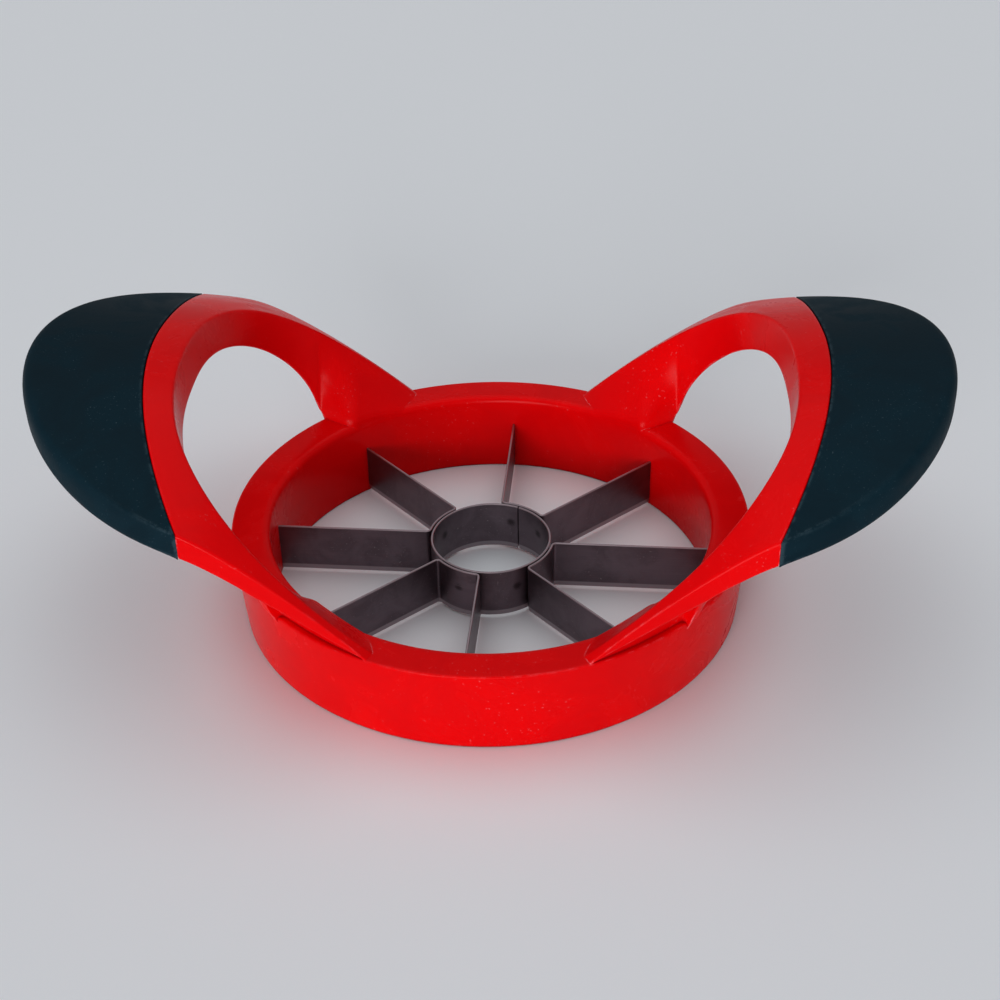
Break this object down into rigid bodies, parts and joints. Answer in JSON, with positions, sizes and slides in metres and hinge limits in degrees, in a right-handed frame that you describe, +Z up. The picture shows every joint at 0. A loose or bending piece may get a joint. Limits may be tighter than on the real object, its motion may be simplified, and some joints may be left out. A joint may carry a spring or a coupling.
{
  "type": "apple slicer",
  "caption": "Push-down fruit slicer: a round moulded frame with raised winged grips, radial steel blades and a central core ring.",
  "frame": {"origin": "centre of the ring on the table, on the plane of the ring's underside", "axes": "+X towards the right wing, along the line through both grips; +Y away from the viewer; +Z up"},
  "size_m": [0.1878, 0.1116, 0.0605],
  "materials": {
    "red_plastic": "glossy moulded",
    "dark_rubber": "matt, lightly scuffed",
    "blade_steel": "dull rolled strip with ground lower edges"
  },
  "bodies": {
    "root": {"frame": "red_plastic", "grip_left": "dark_rubber", "grip_right": "dark_rubber", "core_ring": "blade_steel", "blade_strip_1": "blade_steel", "blade_strip_2": "blade_steel", "blade_strip_3": "blade_steel", "blade_strip_4": "blade_steel"}
  },
  "joints": []
}
